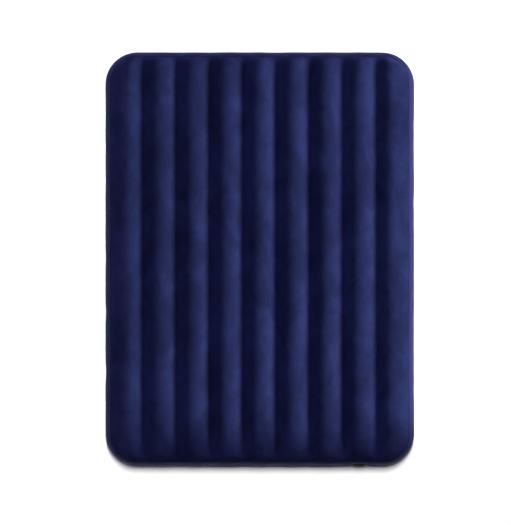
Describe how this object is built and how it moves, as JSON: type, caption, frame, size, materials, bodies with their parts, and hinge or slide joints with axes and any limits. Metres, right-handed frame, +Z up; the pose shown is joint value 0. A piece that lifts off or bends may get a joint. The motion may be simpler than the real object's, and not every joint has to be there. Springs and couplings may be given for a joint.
{
  "type": "air mattress",
  "caption": "Inflated single-height air mattress with lengthwise flocked channels, a bulged side band and a screw valve with a flip cap.",
  "frame": {"origin": "on the floor under the middle of the mattress", "axes": "+X across the bed, +Y to the head end, +Z up"},
  "size_m": [1.5078, 2.0308, 0.22],
  "materials": {
    "flocked_top": "matte",
    "band_vinyl": "satin",
    "bottom_vinyl": "satin",
    "beam_vinyl": "satin",
    "valve_plastic": "satin",
    "cap_plastic": "satin",
    "retainer_plastic": "satin",
    "pin_plastic": "satin",
    "seal_rubber": "matte"
  },
  "bodies": {
    "mattress": {"top_sheet": "flocked_top", "bottom_sheet": "bottom_vinyl", "side_band": "band_vinyl", "i_beam_1": "beam_vinyl", "i_beam_2": "beam_vinyl", "i_beam_3": "beam_vinyl", "i_beam_4": "beam_vinyl", "i_beam_5": "beam_vinyl", "i_beam_6": "beam_vinyl", "i_beam_7": "beam_vinyl", "i_beam_8": "beam_vinyl", "valve_patch": "band_vinyl", "valve_base": "valve_plastic", "neck_loop": "retainer_plastic", "plug_tether": "retainer_plastic"},
    "retainer": {"swivel_ring": "retainer_plastic"},
    "screw_plug": {"valve_plug": "valve_plastic", "plug_gasket": "seal_rubber", "cap_strap": "cap_plastic", "flap_pin": "pin_plastic"},
    "cap": {"inflation_cap": "cap_plastic", "port_seal": "seal_rubber"},
    "flap": {"check_flap": "seal_rubber"}
  },
  "joints": [
    {"name": "ring_travel", "type": "slide", "parent": "mattress", "child": "retainer", "axis": [0, -1, 0], "range_m": [0, 0.0125], "deforming": ["plug_tether"]},
    {"name": "plug_turn", "type": "hinge", "parent": "retainer", "child": "screw_plug", "pos_m": [0.4881, -1.006, 0.109], "axis": [0, -1, 0], "range_deg": [0, 900]},
    {"name": "cap_flip", "type": "hinge", "parent": "screw_plug", "child": "cap", "pos_m": [0.4881, -1.0151, 0.1298], "axis": [-1, 0, 0], "range_deg": [0, 150], "deforming": ["cap_strap"]},
    {"name": "flap_swing", "type": "hinge", "parent": "screw_plug", "child": "flap", "pos_m": [0.4881, -0.9943, 0.1228], "axis": [1, 0, 0], "range_deg": [0, 70], "stiffness_Nm_per_rad": 0.0005, "springref_deg": -5.73}
  ],
  "couplings": [
    {"joint": "ring_travel", "follows": "plug_turn", "m_per_rad": 0.00079577}
  ]
}
